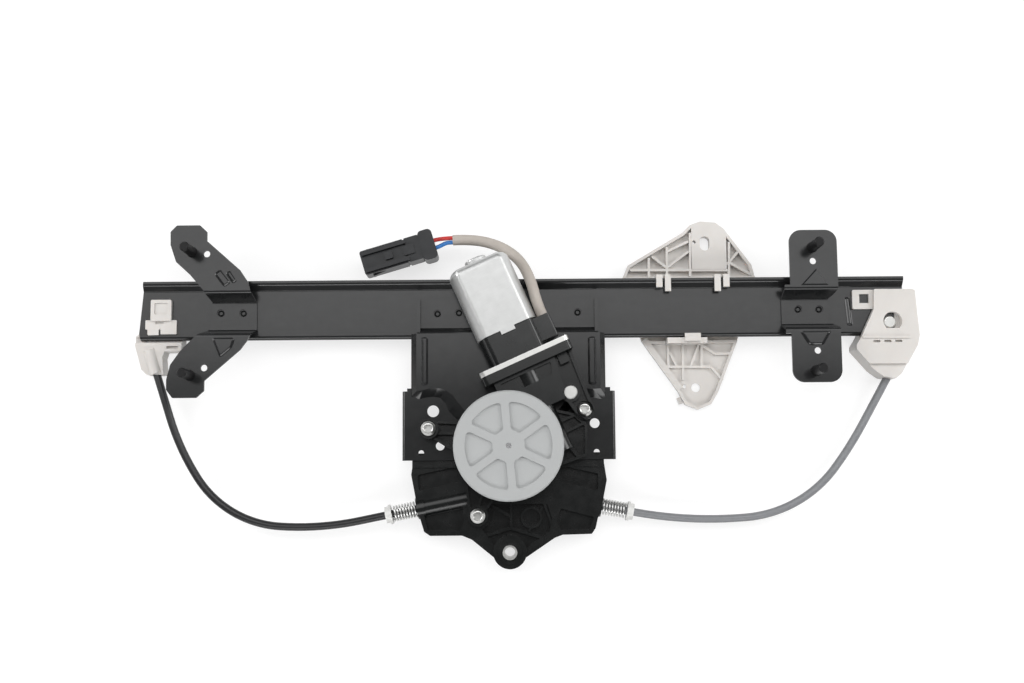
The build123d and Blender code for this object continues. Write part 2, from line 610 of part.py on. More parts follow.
with BuildPart() as output_shaft:
    add(disc(DRUM_X, DRUM_Y, SHAFT_HUB_R, DRUM_LOW, MOTOR_Z + 4.0))
    add(disc(DRUM_X, DRUM_Y, 1.6, MOTOR_Z + 4.0, 16.6))
output_shaft.part.label = "output_shaft"
export_step(output_shaft.part, "parts/output_shaft.step")

# ---- armature: shaft with a single-start worm, core and commutator ----------------------------
WORM_LEAD = pi * MODULE
SHAFT_R = 2.8
SHAFT_END = MESH + 14.7
with BuildPart() as worm_shaft:
    with BuildSketch(motor_section(1.6)):
        Circle(SHAFT_R)
    extrude(amount=SHAFT_END - 1.6)
    thread_start = motor_section(MESH - 10.0)
    turn = Helix(pitch=WORM_LEAD, height=20.0, radius=SHAFT_R - 0.1,
                 center=thread_start.origin, direction=MOTOR_AXIS)
    with BuildSketch(Plane(origin=turn @ 0, x_dir=((turn @ 0) - thread_start.origin).normalized(),
                           z_dir=turn % 0)):
        Polygon((0, -0.85), (WORM_PITCH_R + 0.8 - SHAFT_R, -0.4),
                (WORM_PITCH_R + 0.8 - SHAFT_R, 0.4), (0, 0.85), align=None)
    sweep(path=turn, is_frenet=True)
worm_shaft.part.label = "worm_shaft"
export_step(worm_shaft.part, "parts/worm_shaft.step")

with BuildPart() as armature_core:
    with BuildSketch(motor_section(14.0)):
        Circle(10.6)
        with PolarLocations(10.0, 8):
            Rectangle(3.0, 1.2, mode=Mode.SUBTRACT)
        Circle(SHAFT_R, mode=Mode.SUBTRACT)
    extrude(amount=26.0)
armature_core.part.label = "armature_core"
export_step(armature_core.part, "parts/armature_core.step")

with BuildPart() as commutator:
    with BuildSketch(motor_section(50.0)):
        Circle(6.2)
        Circle(SHAFT_R, mode=Mode.SUBTRACT)
    extrude(amount=10.0)
commutator.part.label = "commutator"
export_step(commutator.part, "parts/commutator.step")

# ---- motor can, magnets, bearings --------------------------------------------------------------
CAN_START, CAN_END = 3.0, 48.0
CAN_WALL = 1.6
BEARING_R, BEARING_LENGTH = 5.0, 4.5


def rear_face(body):
    """Face of a motor piece that lies farthest back along the motor's axis."""
    return body.faces().sort_by(Axis(MOTOR_END, MOTOR_AXIS))[0]


with BuildPart() as motor_can:
    extrude(to_extrude=can_section(CAN_START, CAN_R, CAN_HALF), amount=CAN_END - CAN_START)
    fillet(rear_face(motor_can).edges(), 4.5)
    with BuildSketch(motor_section(0.0)):
        Circle(6.8)
    extrude(amount=CAN_START + 1.0)
    fillet(rear_face(motor_can).edges(), 1.0)
    extrude(to_extrude=can_section(CAN_START + CAN_WALL, CAN_R - CAN_WALL, CAN_HALF - CAN_WALL),
            amount=CAN_END, mode=Mode.SUBTRACT)
    with BuildSketch(motor_section(1.0)):
        Circle(BEARING_R)
    extrude(amount=6.0, mode=Mode.SUBTRACT)
    # tabs staked over the brush collar's rim
    for half_turn in (1, -1):
        with BuildSketch(motor_section(CAN_END)):
            with Locations((0, half_turn * (CAN_HALF - CAN_WALL / 2))):
                Rectangle(9.0, CAN_WALL)
        extrude(amount=2.4)
motor_can.part.label = "motor_can"
export_step(motor_can.part, "parts/motor_can.step")

with BuildPart() as magnets:
    with BuildSketch(motor_section(12.0)):
        Circle(CAN_R - CAN_WALL)
        Circle(11.4, mode=Mode.SUBTRACT)
        Rectangle(2 * CAN_R, 15.0, mode=Mode.INTERSECT)
    extrude(amount=30.0)
magnets.part.label = "magnets"
export_step(magnets.part, "parts/magnets.step")

with BuildPart() as shaft_bearings:
    for start, radius in ((1.5, BEARING_R), (69.0, BEARING_R), (SHAFT_END - 4.0, 5.6)):
        with BuildSketch(motor_section(start)):
            Circle(radius)
            Circle(SHAFT_R + 0.05, mode=Mode.SUBTRACT)
        extrude(amount=BEARING_LENGTH)
shaft_bearings.part.label = "shaft_bearings"
export_step(shaft_bearings.part, "parts/shaft_bearings.step")

# ---- brush collar with the cable outlet ---------------------------------------------------------
SHEATH_R, WIRE_R = 3.3, 1.3
OUTLET_SIDE, OUTLET_RISE = 22.8, 2.6
with BuildPart() as brush_collar:
    extrude(to_extrude=can_section(CAN_END, 18.6, CAN_HALF - CAN_WALL), amount=18.0)
    with BuildSketch(motor_section(CAN_END + 1.0)):
        with Locations((19.2, 2.6)):
            RectangleRounded(15.0, 13.0, 1.5)
    extrude(amount=14.5)
    extrude(to_extrude=can_section(CAN_END - 1.0, 16.0, 10.4), amount=20.0, mode=Mode.SUBTRACT)
    with BuildSketch(motor_section(CAN_END)):
        with Locations((OUTLET_SIDE, OUTLET_RISE)):
            Circle(SHEATH_R)
    extrude(amount=7.0, mode=Mode.SUBTRACT)
brush_collar.part.label = "brush_collar"
export_step(brush_collar.part, "parts/brush_collar.step")

# ---- motor flange plate and the gear housing behind it ------------------------------------------
FLANGE_START = CAN_END + 18.0
FLANGE_THICK = 3.0


def flange_outline():
    """Plate outline across the motor, wider to the cable outlet's side."""
    with Locations((2.3, 0.2)):
        RectangleRounded(57.4, 25.0, 3.0)


with BuildPart() as motor_flange_plate:
    with BuildSketch(motor_section(FLANGE_START)):
        flange_outline()
        Circle(BEARING_R, mode=Mode.SUBTRACT)
    extrude(amount=FLANGE_THICK)
motor_flange_plate.part.label = "motor_flange_plate"
export_step(motor_flange_plate.part, "parts/motor_flange_plate.step")

BODY_LOW, BODY_HIGH = -6.0, 14.5
EAR_LOW, EAR_FLOOR = -8.0, -5.2
LEFT_EAR = [(-45.1, -66.5), (-27.0, -68.7), (-22.0, -90.0), (-44.0, -76.8)]
LOWER_EAR = [(-20.5, -121.5), (-24.0, -100.0), (0.0, -108.0), (-11.0, -122.0)]
RIGHT_EAR = [(30.0, -60.0), (43.5, -63.0), (50.8, -69.9), (50.6, -88.4), (37.0, -93.4),
             (28.0, -97.0)]
RIGHT_EAR_FLOOR, RIGHT_EAR_TOP = -2.4, 2.0
ARM = [on_motor(22, 70), on_motor(30.6, 70), (43.6, -31.3), (51.8, -52.4), (55.0, -60.7),
       (49.1, -66.8), (43.5, -63.0), (38.0, -55.3), (31.0, -38.5)]
ARM_TOP = 9.0

with BuildPart() as gear_housing:
    add(disc(DRUM_X, DRUM_Y, COVER_R - 0.6, BODY_LOW, BODY_HIGH))
    add(disc(DRUM_X, DRUM_Y, 15.0, HOUSING_TOP, BODY_LOW))
    # mounting flange, neck and worm tube
    with BuildSketch(motor_section(FLANGE_START + FLANGE_THICK)):
        flange_outline()
    extrude(amount=5.5)
    add(prism([on_motor(-21, 74), on_motor(19, 74), on_motor(16, 100), on_motor(-20, 100)],
              -4.8, BODY_HIGH, 1.0))
    add(prism([on_motor(-17.6, 76.6), on_motor(15.8, 76.6), on_motor(13.0, 84.0),
               on_motor(-17.0, 84.0)], BODY_HIGH - 2.0, BODY_HIGH + 1, 1.0), mode=Mode.SUBTRACT)
    with BuildSketch(motor_section(74.0)):
        Circle(7.0)
    extrude(amount=SHAFT_END + 1.4 - 74.0)
    # arm along the right edge: a floor inside a rim, and a square post by the flange
    add(prism(ARM, -5.8, ARM_TOP - 3.0, 1.0))
    add(rim(ARM, ARM_TOP - 3.0, ARM_TOP, 2.0, 1.0))
    add(disc(*DOWEL, 6.0, -5.8, ARM_TOP))
    add(prism([on_motor(20.6, 74), on_motor(26.6, 74), on_motor(26.6, 80.6),
               on_motor(20.6, 80.6)], -5.8, 12.0, 0.6))
    # ears: ribs on a thin floor
    add(prism(RIGHT_EAR, -5.8, RIGHT_EAR_FLOOR, 1.0))
    add(rim(RIGHT_EAR, RIGHT_EAR_FLOOR, RIGHT_EAR_TOP, 1.6, 1.0))
    add(ribs([((33.0, -76.6), (49.8, -68.2)), ((36.0, -78.6), (45.9, -90.0)),
              ((34.0, -68.0), (46.4, -62.6))], RIGHT_EAR_FLOOR, RIGHT_EAR_TOP))
    add(prism(LEFT_EAR, EAR_LOW, EAR_FLOOR, 0.8))
    add(ribs([((-41.5, -67.3), (-27.0, -68.2)), ((-40.4, -74.2), (-27.0, -74.4)),
              ((-41.5, -77.4), (-25.0, -87.6))], EAR_FLOOR, -0.6))
    add(prism(LOWER_EAR, EAR_LOW, EAR_FLOOR, 0.8))
    add(ribs([((-20.4, -121.0), (-22.9, -103.0)), ((-11.8, -121.2), (-3.0, -110.0)),
              ((-15.6, -120.0), (-12.6, -110.0))], EAR_FLOOR, -1.4))
    for (x, y), top in zip(SCREWS, SCREW_SEATS):
        add(disc(x, y, 6.2, WING_Z, top + 1.0))
    add(disc(SCREWS[2][0], SCREWS[2][1], 5.6, HOUSING_TOP, WING_Z))
    # wheel pocket, worm bore, shaft bores, screw holes and dowel hole
    add(disc(DRUM_X, DRUM_Y, 25.6, MOTOR_Z - 3.6, BODY_HIGH + 1), mode=Mode.SUBTRACT)
    add(disc(DRUM_X, DRUM_Y, SHAFT_HUB_R + 0.06, -20, 20), mode=Mode.SUBTRACT)
    with BuildSketch(motor_section(60.0)):
        Circle(5.6)
    extrude(amount=SHAFT_END + 0.6 - 60.0, mode=Mode.SUBTRACT)
    for (x, y), top in zip(SCREWS, SCREW_SEATS):
        add(disc(x, y, SCREW_R + 0.1, -20, 20), mode=Mode.SUBTRACT)
        add(disc(x, y, 5.0, top, 20), mode=Mode.SUBTRACT)
    add(disc(*DOWEL, DOWEL_R, 4.0, 20), mode=Mode.SUBTRACT)
gear_housing.part.label = "gear_housing"
export_step(gear_housing.part, "parts/gear_housing.step")

# ---- gear cover: six rounded pockets round a hub -------------------------------------------------
with BuildPart() as gear_cover:
    with BuildSketch(Plane.XY.offset(BODY_HIGH)):
        with Locations((DRUM_X, DRUM_Y)):
            Circle(COVER_R)
            Circle(1.66, mode=Mode.SUBTRACT)
    extrude(amount=3.0)
    chamfer(gear_cover.faces().sort_by(Axis.Z)[-1].edges().sort_by(SortBy.LENGTH)[-1], 0.9)
    with BuildSketch(Plane.XY.offset(BODY_HIGH + 3.0)) as pockets:
        with Locations((DRUM_X, DRUM_Y)):
            Circle(26.0)
            Circle(9.6, mode=Mode.SUBTRACT)
            with PolarLocations(0, 6, start_angle=35.0):
                with Locations((18.0, 0)):
                    Rectangle(24.0, 4.6, mode=Mode.SUBTRACT)
        fillet(pockets.vertices(), 2.0)
    extrude(amount=-1.3, mode=Mode.SUBTRACT)
gear_cover.part.label = "gear_cover"
export_step(gear_cover.part, "parts/gear_cover.step")

# ---- gearbox screws with six-lobed sockets, and the dowel pin ----------------------------------------
with BuildPart() as gearbox_screws:
    for (x, y), top in zip(SCREWS, SCREW_SEATS):
        add(disc(x, y, SCREW_R, -19.5, top))
        add(disc(x, y, SCREW_HEAD_R, top, top + 3.0))
    heads = gearbox_screws.edges().filter_by(GeomType.CIRCLE)
    chamfer([edge for edge in heads.group_by(SortBy.RADIUS)[-1]
             if any(abs(edge.center().Z - top - 3.0) < 0.01 for top in SCREW_SEATS)], 0.6)
    for (x, y), top in zip(SCREWS, SCREW_SEATS):
        with BuildSketch(Plane.XY.offset(top + 3.0)):
            with Locations((x, y)):
                Circle(1.7)
                with PolarLocations(1.75, 6):
                    Circle(0.6)
        extrude(amount=-1.8, mode=Mode.SUBTRACT)
gearbox_screws.part.label = "gearbox_screws"
export_step(gearbox_screws.part, "parts/gearbox_screws.step")

with BuildPart() as dowel_pin:
    add(disc(*DOWEL, DOWEL_R, 4.0, 10.2))
    chamfer(dowel_pin.faces().sort_by(Axis.Z)[-1].edges(), 0.5)
dowel_pin.part.label = "dowel_pin"
export_step(dowel_pin.part, "parts/dowel_pin.step")

# ---- cable guides: each is drawn with X measured from the studs next to it ---------------------------
BACK_OF_WEB = WEB_Z - SHEET
BORE_R = 1.1              # running hole for the cable
RIVET_X, RIVET_Y = RIGHT_STUDS + 49.5, -7.0


def edge_slot(x_low, x_high):
    """Room for the rail's turned edge."""
    with Locations(((x_low + x_high) / 2, RAIL_BOTTOM + SHEET / 2, WEB_Z - TURNED_EDGE / 2)):
        Box(x_high - x_low, SHEET + 2.2, TURNED_EDGE + 0.3, mode=Mode.SUBTRACT)


def conduit_barrel(corners, level, start, length, radius):
    """Round barrel on a conduit's line, from a distance before the corner inside the guide."""
    turn, last = Vector(*corners[-1], level), Vector(*corners[-2], level)
    back = (last - turn).normalized()
    with BuildPart() as barrel:
        with BuildSketch(Plane(origin=turn + back * start, x_dir=(0, 0, 1), z_dir=back)):
            Circle(radius)
        extrude(amount=length)
    return barrel.part


with BuildPart() as left_cable_guide:
    with Locations((LEFT_STUDS, 0, 0)):
        add(prism([(-38.0, -12.6), (-33.9, -9.5), (-33.1, 7.5), (-5.5, 7.5), (-5.5, -3.0),
                   (-9.2, -6.0), (-9.1, -21.5), (-19.7, -21.5), (-20.9, -25.2),
                   (-20.0, -35.9), (-30.6, -35.9), (-33.8, -32.6), (-37.9, -18.2)],
                  REST_Z, BACK_OF_WEB, 0.8))
        add(prism([(-18.4, -18.2), (-11.4, -18.2), (-11.4, -20.0), (-18.4, -20.0)],
                  BACK_OF_WEB - 2.0, BACK_OF_WEB + 1), mode=Mode.SUBTRACT)
        # clip through the rail, with its head and feet on the front
        with Locations((-21.0, -1.0, BACK_OF_WEB)):
            Box(8.6, 14.6, SHEET, align=(Align.CENTER, Align.CENTER, Align.MIN))
        add(prism([(-31.0, -2.4), (-31.0, -8.1), (-29.6, -8.1), (-29.6, -11.7), (-22.7, -11.7),
                   (-22.7, -8.1), (-21.5, -8.1), (-21.5, -11.2), (-11.7, -11.2), (-11.7, -2.4)],
                  WEB_Z, WEB_Z + 1.6, 0.5))
        add(prism([(-27.6, 10.2), (-27.6, -3.0), (-14.9, -3.0), (-14.9, 10.2)],
                  WEB_Z, WEB_Z + 2.8, 0.8))
        add(prism([(-24.9, -3.4), (-24.9, -5.0), (-19.6, -5.0), (-19.6, -3.4)],
                  WEB_Z + 0.6, WEB_Z + 4), mode=Mode.SUBTRACT)
        add(prism([(-25.4, 8.2), (-25.4, 1.0), (-17.1, 1.0), (-17.1, 8.2)],
                  WEB_Z + 2.0, WEB_Z + 4, 0.6), mode=Mode.SUBTRACT)
        edge_slot(-39.5, 0.5)
    add(conduit_barrel(LEFT_CORNERS, LEFT_CABLE_Z, 24.0, 15.5, 4.4))
    add(round_rod(LEFT_CABLE, BORE_R), mode=Mode.SUBTRACT)
    add(round_rod(LEFT_CONDUIT, CONDUIT_R), mode=Mode.SUBTRACT)
left_cable_guide.part.label = "left_cable_guide"
export_step(left_cable_guide.part, "parts/left_cable_guide.step")

with BuildPart() as right_cable_guide:
    with Locations((RIGHT_STUDS, 0, 0)):
        add(prism([(39.6, 13.3), (63.1, 13.2), (64.9, 12.3), (65.6, 0.0), (66.8, -15.6),
                   (65.3, -21.8), (55.3, -39.0), (51.5, -42.1), (44.2, -40.8), (38.2, -36.4),
                   (27.6, -24.0), (27.6, -21.3), (31.0, -15.9), (39.1, 0.8)],
                  REST_Z, WEB_Z + 4.5, 0.8))
        # square clip frame on the rail's front
        add(prism([(26.6, 13.2), (26.6, 1.2), (40.4, 1.2), (40.4, 13.2)],
                  WEB_Z, WEB_Z + 2.0, 1.0))
        add(prism([(30.9, 10.6), (30.9, 4.9), (36.8, 4.9), (36.8, 10.6)],
                  WEB_Z, WEB_Z + 3), mode=Mode.SUBTRACT)
        # ridge across the body, and a step down to the end of the conduit
        add(ribs([((31.6, -16.6), (60.5, -16.9))], WEB_Z + 4.5, WEB_Z + 5.3, 1.2))
        add(prism([(33.0, -33.0), (66.0, -33.0), (66.0, -44.0), (33.0, -44.0)],
                  WEB_Z + 2.5, 0), mode=Mode.SUBTRACT)
        # the rail's end sits in a slot
        with Locations((39.5, -0.6, WEB_Z - SHEET / 2)):
            Box(26.4, 30.0, SHEET, mode=Mode.SUBTRACT)
        edge_slot(25.5, 52.7)
        # rivet recess with one flat side, and three slots
        recess = disc(50.5, -6.8, 5.85, WEB_Z, 0) - prism(
            [(40, -11.1), (60, -11.1), (60, -20), (40, -20)], WEB_Z, 0)
        add(recess, mode=Mode.SUBTRACT)
    with BuildSketch(Plane.XY.offset(WEB_Z + 4.5)):
        with Locations(*[(RIGHT_STUDS + x, -19.2) for x in (40.2, 46.9, 53.7)]):
            SlotOverall(4.6, 1.5)
    extrude(amount=-2.0, mode=Mode.SUBTRACT)
    add(disc(RIVET_X, RIVET_Y, 1.7, WEB_Z - 6.0, WEB_Z), mode=Mode.SUBTRACT)
    # cable bore and conduit socket
    add(round_rod(RIGHT_CABLE, BORE_R), mode=Mode.SUBTRACT)
    add(round_rod(RIGHT_CONDUIT, CONDUIT_R), mode=Mode.SUBTRACT)
right_cable_guide.part.label = "right_cable_guide"
export_step(right_cable_guide.part, "parts/right_cable_guide.step")

with BuildPart() as guide_rivet:
    add(disc(RIVET_X, RIVET_Y, 1.7, WEB_Z - 5.8, WEB_Z))
    add(disc(RIVET_X, RIVET_Y, 3.9, WEB_Z, WEB_Z + 1.4))
    fillet(guide_rivet.faces().sort_by(Axis.Z)[-1].edges(), 0.9)
guide_rivet.part.label = "guide_rivet"
export_step(guide_rivet.part, "parts/guide_rivet.step")

# ---- glass carrier: ribbed wings above and below the rail, hooked over both of its edges -----------------
CARRIER_LOW = REST_Z + 0.5
CARRIER_FLOOR = CARRIER_LOW + 1.6
CARRIER_TOP = BACK_OF_WEB - GAP
UPPER_WING_TOP = -21.2
LOWER_WING_TOP = -23.4
HOOK_WALL, HOOK_THICK = 1.5, 2.0
HOOK_Y = RAIL_TOP + GAP + HOOK_WALL
CARRIER_PLAN = [(75.0, 21.8), (79.0, 31.3), (114.0, 52.1), (118.8, 57.0), (125.2, 59.2),
                (134.8, 58.4), (139.9, 54.5), (156.9, 31.3), (159.1, 22.4), (147.3, -16.3),
                (134.4, -48.6), (129.8, -56.4), (121.5, -59.8), (113.6, -56.6), (109.0, -48.0),
                (87.1, -16.5)]
UPPER_WING, LOWER_WING = CARRIER_PLAN[:9], CARRIER_PLAN[9:]
GLASS_PAD = [(119.5, 57.3), (125.2, 59.2), (134.8, 58.4), (139.9, 54.5), (141.4, 52.4),
             (141.4, 28.6), (119.5, 28.6)]
UPPER_RIBS = [((80.3, 28.4), (142.0, 28.0)), ((92.4, 36.0), (92.2, 24.0)),
              ((103.9, 43.0), (103.7, 24.0)), ((118.9, 52.0), (118.3, 24.3)),
              ((143.2, 46.0), (142.7, 24.3)), ((103.7, 29.8), (117.4, 40.0)),
              ((103.7, 29.8), (94.5, 37.0)), ((103.9, 40.1), (117.4, 46.5)),
              ((142.9, 32.9), (149.0, 40.0)), ((142.9, 32.9), (156.6, 25.1)),
              ((142.9, 32.9), (134.8, 27.8))]
LOWER_RIBS = [((103.8, -16.5), (103.5, -33.4)), ((113.0, -16.5), (112.6, -41.0)),
              ((124.8, -16.5), (124.4, -33.0)), ((123.1, -18.3), (117.7, -32.5)),
              ((104.5, -23.4), (109.0, -32.7)), ((98.9, -32.7), (130.2, -32.9)),
              ((130.2, -32.9), (137.4, -41.4)), ((125.4, -19.6), (133.0, -24.8)),
              ((133.0, -24.8), (143.2, -24.6))]


def lip_hook(x, width, tip):
    """Hook from the upper wing, over the raised lip, to a tip above the web."""
    with Locations((x, HOOK_Y, CARRIER_LOW)):
        Box(width, HOOK_WALL, LIP_Z + GAP + HOOK_THICK - CARRIER_LOW,
            align=(Align.CENTER, Align.MAX, Align.MIN))
    with Locations((x, HOOK_Y, LIP_Z + GAP)):
        Box(width, HOOK_Y - tip, HOOK_THICK, align=(Align.CENTER, Align.MAX, Align.MIN))


with BuildPart() as carrier:
    add(prism(CARRIER_PLAN, CARRIER_LOW, CARRIER_FLOOR, 2.0))
    # wings: a rim and ribs on the floor, and a solid pad under the upper glass clamp
    add(rim(UPPER_WING, CARRIER_FLOOR, UPPER_WING_TOP, 1.8))
    add(ribs(UPPER_RIBS, CARRIER_FLOOR, UPPER_WING_TOP - 0.3))
    add(prism(GLASS_PAD, CARRIER_FLOOR, UPPER_WING_TOP, 0.8))
    add(rim(LOWER_WING, CARRIER_FLOOR, LOWER_WING_TOP, 1.8))
    add(ribs([((110.6, -46.9), (88.7, -15.4))], CARRIER_FLOOR, LOWER_WING_TOP, 4.0))
    add(ribs(LOWER_RIBS, CARRIER_FLOOR, LOWER_WING_TOP - 0.2))
    add(prism([(108.4, -52.4), (111.0, -51.4), (112.6, -55.6), (109.8, -56.4)],
              CARRIER_LOW, CARRIER_FLOOR))
    # slider block behind the web, with a channel for both cables
    low, high = RAIL_BOTTOM + SHEET + 0.4, SLOPE_FOOT - 0.5
    with Locations((117.0, low, CARRIER_LOW)):
        Box(64.0, high - low, CARRIER_TOP - CARRIER_LOW,
            align=(Align.CENTER, Align.MIN, Align.MIN))
    with Locations((117.0, 0.0, RIGHT_CABLE_Z - 2.4)):
        Box(70.0, 10.0, 10.0, align=(Align.CENTER, Align.CENTER, Align.MIN), mode=Mode.SUBTRACT)
    # hooks over the raised lip
    for x, width, tip in ((97.2, 3.8, RAIL_TOP - 6.0), (102.5, 3.6, RAIL_TOP - 8.5),
                          (133.3, 3.8, RAIL_TOP - 8.7), (138.7, 3.8, RAIL_TOP - 6.0)):
        lip_hook(x, width, tip)
    # shelf below the web's lower edge, and the hook over it
    with Locations((114.5, RAIL_BOTTOM - GAP, CARRIER_LOW)):
        Box(24.6, 3.4, WEB_Z - CARRIER_LOW, align=(Align.CENTER, Align.MAX, Align.MIN))
    with Locations((117.7, RAIL_BOTTOM - GAP, CARRIER_LOW)):
        Box(9.8, 2.4, WEB_Z + GAP + 1.6 - CARRIER_LOW,
            align=(Align.CENTER, Align.MAX, Align.MIN))
    with Locations((117.7, RAIL_BOTTOM + 2.2, WEB_Z + GAP)):
        Box(9.8, 4.9, 1.6, align=(Align.CENTER, Align.MAX, Align.MIN))
    # glass clamp holes
    with BuildSketch(Plane.XY.offset(CARRIER_LOW)):
        with Locations((127.8, 45.1)):
            SlotOverall(9.0, 6.2, rotation=90)
        with Locations((120.6, -45.8)):
            Circle(2.8)
        with Locations((121.1, 46.0), (113.6, -45.0)):
            Circle(1.1)
    extrude(amount=20, mode=Mode.SUBTRACT)
carrier.part.label = "carrier"
export_step(carrier.part, "parts/carrier.step")

with BuildPart() as cable_nipples:
    for x, path in ((92.0, LEFT_CABLE), (142.0, RIGHT_CABLE)):
        with BuildSketch(Plane.YZ.offset(x - 3.0)):
            with Locations(((path @ 1).Y, (path @ 1).Z)):
                Circle(1.9)
                Circle(CABLE_R + 0.1, mode=Mode.SUBTRACT)
        extrude(amount=6.0)
cable_nipples.part.label = "cable_nipples"
export_step(cable_nipples.part, "parts/cable_nipples.step")

# ---- motor lead: sheath, two wires and the connector -----------------------------------------------------
# the plug stands clear of the carrier's travel, held by its short stiff lead
PLUG = Plane(origin=(-65.4, 37.3, -12.2), x_dir=heading(16.5), z_dir=(0, 0, 1))
SHEATH_ROUTE = [(26.1, -9.1, 10.1), (20.9, 2.6, 10.1), (17.5, 17.5, 8.6), (11.0, 31.5, 2.4),
                (-1.5, 41.8, -6.0), (-18.0, 47.1, -11.9), (-30.7, 46.6, -12.3)]
WIRE_PITCH = 2.4          # each wire's offset from the middle of the plug


def plug_point(reach, offset):
    """Point in the plug's middle plane, by its distance along and across the plug."""
    return tuple(PLUG.from_local_coords((reach, offset, 0)))


RED_ROUTE = [(-30.79, 48.0, -12.3), (-34.59, 47.85, -12.42), plug_point(26.6, WIRE_PITCH),
             plug_point(22.0, WIRE_PITCH)]
BLUE_ROUTE = [(-30.68, 45.2, -12.3), (-34.67, 45.04, -12.43), plug_point(25.8, -WIRE_PITCH),
              plug_point(22.0, -WIRE_PITCH)]


def lead(name, points, radius):
    """Flexible lead along a hand-laid route, each bend as wide as its two runs allow."""
    spots = [Vector(*point) for point in points]
    bends = []
    for before, corner, after in zip(spots, spots[1:], spots[2:]):
        turn = (corner - before).get_angle(after - corner)
        bends.append(0.45 * min((corner - before).length, (after - corner).length)
                     / tan(radians(turn / 2)))
    print(name, "bend radii", [round(bend, 1) for bend in bends])
    with BuildPart() as rod:
        with BuildLine() as line:
            FilletPolyline(*spots, radius=bends)
        with BuildSketch(Plane(origin=line.line @ 0, z_dir=line.line % 0)):
            Circle(radius)
        sweep()
    return rod.part


with BuildPart() as wire_sheath:
    add(lead("sheath", SHEATH_ROUTE, SHEATH_R))
wire_sheath.part.label = "wire_sheath"
export_step(wire_sheath.part, "parts/wire_sheath.step")

with BuildPart() as red_wire:
    add(lead("red wire", RED_ROUTE, WIRE_R))
red_wire.part.label = "red_wire"
export_step(red_wire.part, "parts/red_wire.step")

with BuildPart() as blue_wire:
    add(lead("blue wire", BLUE_ROUTE, WIRE_R))
blue_wire.part.label = "blue_wire"
export_step(blue_wire.part, "parts/blue_wire.step")


# the connector is drawn with X along the plug, from its mouth to its wires
def plug_block(low, high, x, y, length, width, corner=0.0):
    """Upright block of the plug, between two levels about its middle plane."""
    with BuildPart() as block:
        with BuildSketch(PLUG.offset(low)) as outline:
            with Locations((x, y)):
                Rectangle(length, width)
            if corner:
                fillet(outline.vertices(), corner)
        extrude(amount=high - low)
    return block.part


def across_plug(x):
    """Plane across the plug, facing its wires; its X runs to the plug's left, its Y up."""
    return Plane(origin=PLUG.origin + PLUG.x_dir * x, x_dir=PLUG.y_dir, z_dir=PLUG.x_dir)


MOUTH_WIDTH, MOUTH_HEIGHT, MOUTH_DEPTH = 12.4, 11.0, 18.0
with BuildPart() as connector_housing:
    add(plug_block(-7.0, 6.8, -3.0, 0, 38.0, 15.4, 1.5))
    # latch ramp and its bridge on top, between two guide rails
    for side in (5.4, -5.4):
        add(plug_block(6.8, 8.4, -7.0, side, 28.0, 1.4))
        add(plug_block(8.4, 9.2, -7.0, side, 28.0, 2.4))
    add(plug_block(6.8, 8.8, -5.0, 0, 5.0, 4.6, 0.6))
    add(plug_block(6.8, 7.8, 8.0, 0, 7.0, 6.0, 0.6))
    # wedge ears, and the key under the mouth
    with BuildSketch(PLUG.offset(-2.5)):
        for side in (1, -1):
            with BuildLine():
                Polyline((-17.5, side * 7.0), (-17.5, side * 8.8), (-9.0, side * 7.7),
                         (-9.0, side * 7.0), close=True)
            make_face()
    extrude(amount=5.0)
    add(plug_block(-8.0, -7.0, -16.0, 0, 10.0, 4.0, 0.8))
    # rear cover, with a groove before it
    add(plug_block(-7.8, 7.6, 20.0, -0.3, 9.0, 19.0, 2.8))
    for side in (7.7, -7.7):
        add(plug_block(-8.0, 8.0, 6.1, side, 1.2, 1.4), mode=Mode.SUBTRACT)
    add(plug_block(6.2, 7.0, 6.1, 0, 1.2, 15.4), mode=Mode.SUBTRACT)
    # mouth with its key notch
    with BuildSketch(across_plug(-22.0)):
        SlotOverall(MOUTH_WIDTH, MOUTH_HEIGHT)
        with Locations((0, MOUTH_HEIGHT / 2)):
            Rectangle(2.4, 1.6)
    extrude(amount=MOUTH_DEPTH, mode=Mode.SUBTRACT)
    # wire entries
    with BuildSketch(across_plug(21.4)):
        with Locations((WIRE_PITCH, 0), (-WIRE_PITCH, 0)):
            Circle(WIRE_R)
    extrude(amount=3.2, mode=Mode.SUBTRACT)
connector_housing.part.label = "connector_housing"
export_step(connector_housing.part, "parts/connector_housing.step")

with BuildPart() as connector_insert:
    with BuildSketch(across_plug(-10.0)):
        SlotOverall(MOUTH_WIDTH - 0.2, MOUTH_HEIGHT - 0.2)
    extrude(amount=5.9)
connector_insert.part.label = "connector_insert"
export_step(connector_insert.part, "parts/connector_insert.step")

with BuildPart() as connector_pins:
    with BuildSketch(across_plug(-16.4)):
        with Locations((2.6, 0), (-2.6, 0)):
            Rectangle(0.8, 2.3)
    extrude(amount=6.4)
connector_pins.part.label = "connector_pins"
export_step(connector_pins.part, "parts/connector_pins.step")
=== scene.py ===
"""Window regulator: finishes, motor lead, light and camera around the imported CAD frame.

Everything is in metres in the row's frame: +X along the rail, +Z out through the door studs.
"""

import json
from math import cos, pi, radians, sin

import bpy
from mathutils import Matrix, Vector


